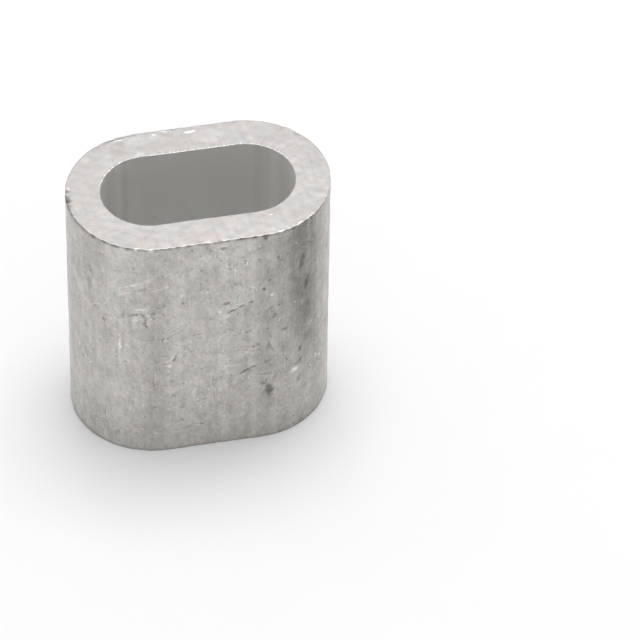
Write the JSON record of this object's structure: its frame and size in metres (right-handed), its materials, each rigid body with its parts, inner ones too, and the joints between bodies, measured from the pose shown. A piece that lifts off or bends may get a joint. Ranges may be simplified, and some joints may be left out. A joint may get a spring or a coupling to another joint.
{
  "type": "oval crimp ferrule",
  "caption": "Short oval aluminium tube, sawn off square at both ends, that is pressed over two runs of wire rope to close a loop.",
  "frame": {"origin": "on the axis of the oval bore, in the plane of the lower sawn end that the ferrule stands on", "axes": "+Z along the bore, up towards the other sawn end; X along the long side of the oval; Y across it, square to the two flat sides"},
  "size_m": [0.03, 0.019, 0.0324],
  "materials": {
    "extruded_aluminium": "dull mill finish from extrusion, brighter sawn ends"
  },
  "bodies": {
    "root": {"ferrule_body": "extruded_aluminium"}
  },
  "joints": []
}
